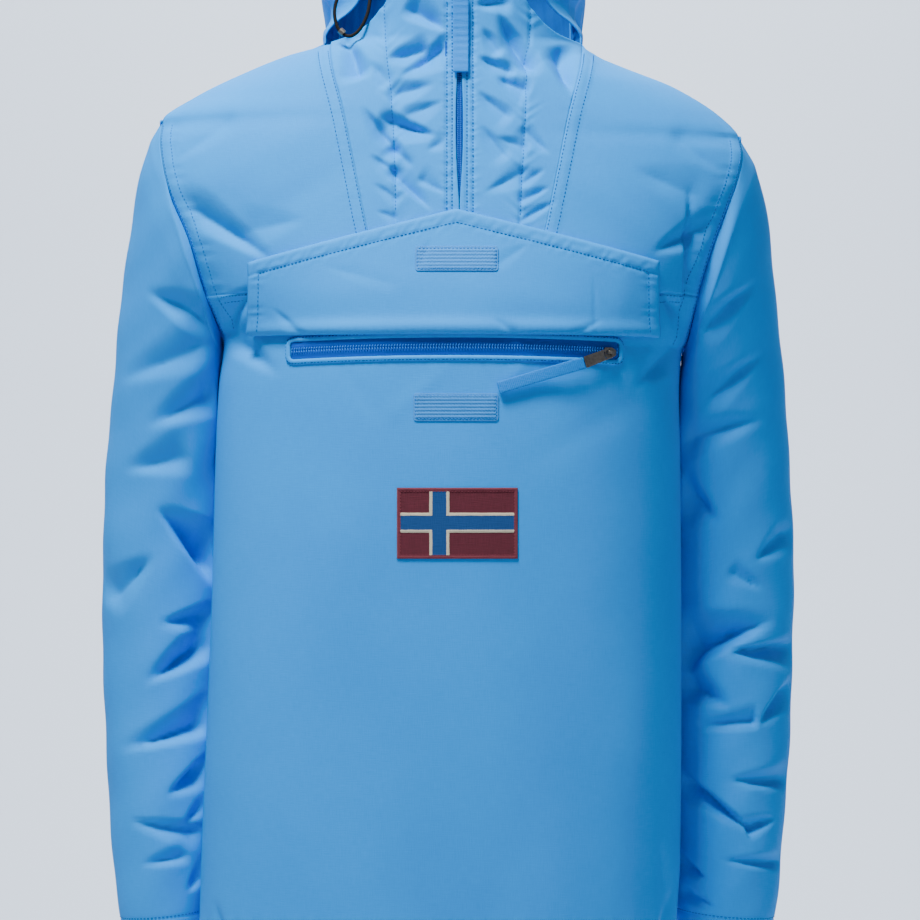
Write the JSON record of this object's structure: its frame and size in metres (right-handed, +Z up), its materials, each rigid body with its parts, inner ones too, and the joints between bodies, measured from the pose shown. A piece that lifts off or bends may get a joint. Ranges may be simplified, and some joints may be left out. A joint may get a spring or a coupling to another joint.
{
  "type": "anorak pullover",
  "caption": "Worn-form anorak pullover with a half zip, hood pushed back, turned-up pocket flap over a zip pocket, and open neck, hem, vents and cuffs.",
  "frame": {"origin": "middle of the neck opening, level with the tops of the wearer's shoulders, where the wearer holds the garment up", "axes": "+Z up, -Y out of the garment's front, -X towards the wearer's right"},
  "size_m": [0.6045, 0.3256, 0.8725],
  "materials": {
    "shell_cloth": "matt plain weave",
    "hook_tape": "matt hooked tape",
    "patch_cloth": "embroidered twill",
    "zip_tape": "woven tape and coil",
    "dark_metal": "dark nickel, satin",
    "pull_webbing": "ribbed webbing",
    "cord": "braided elastic"
  },
  "bodies": {
    "garment": {"front_body": "shell_cloth", "back_body": "shell_cloth", "front_yoke_right": "shell_cloth", "front_yoke_left": "shell_cloth", "neck_panel_right": "shell_cloth", "neck_panel_left": "shell_cloth", "sleeve_right": "shell_cloth", "sleeve_left": "shell_cloth", "hood_right": "shell_cloth", "hood_centre": "shell_cloth", "hood_left": "shell_cloth", "pocket_flap": "shell_cloth", "hook_tape_upper": "hook_tape", "hook_tape_lower": "hook_tape", "flag_patch": "patch_cloth", "pocket_zip_tape": "zip_tape", "neck_zip_tape": "zip_tape", "pocket_zip_slider": "dark_metal", "neck_zip_slider": "dark_metal", "hood_cord": "cord", "cord_crimp": "dark_metal"},
    "pocket_puller": {"pocket_zip_tab": "dark_metal", "pocket_pull_ribbon": "pull_webbing"},
    "neck_puller": {"neck_zip_tab": "dark_metal", "neck_pull_strap": "pull_webbing"}
  },
  "joints": [
    {"name": "pocket_puller_swing", "type": "hinge", "parent": "garment", "child": "pocket_puller", "pos_m": [0.12842, -0.1195, -0.25292], "axis": [-0.2895, -0.139, 0.947], "range_deg": [0, 140]},
    {"name": "neck_puller_swing", "type": "hinge", "parent": "garment", "child": "neck_puller", "pos_m": [0.00365, -0.10355, 0.07172], "axis": [-0.9999, -0.0145, 0], "range_deg": [0, 140]}
  ]
}
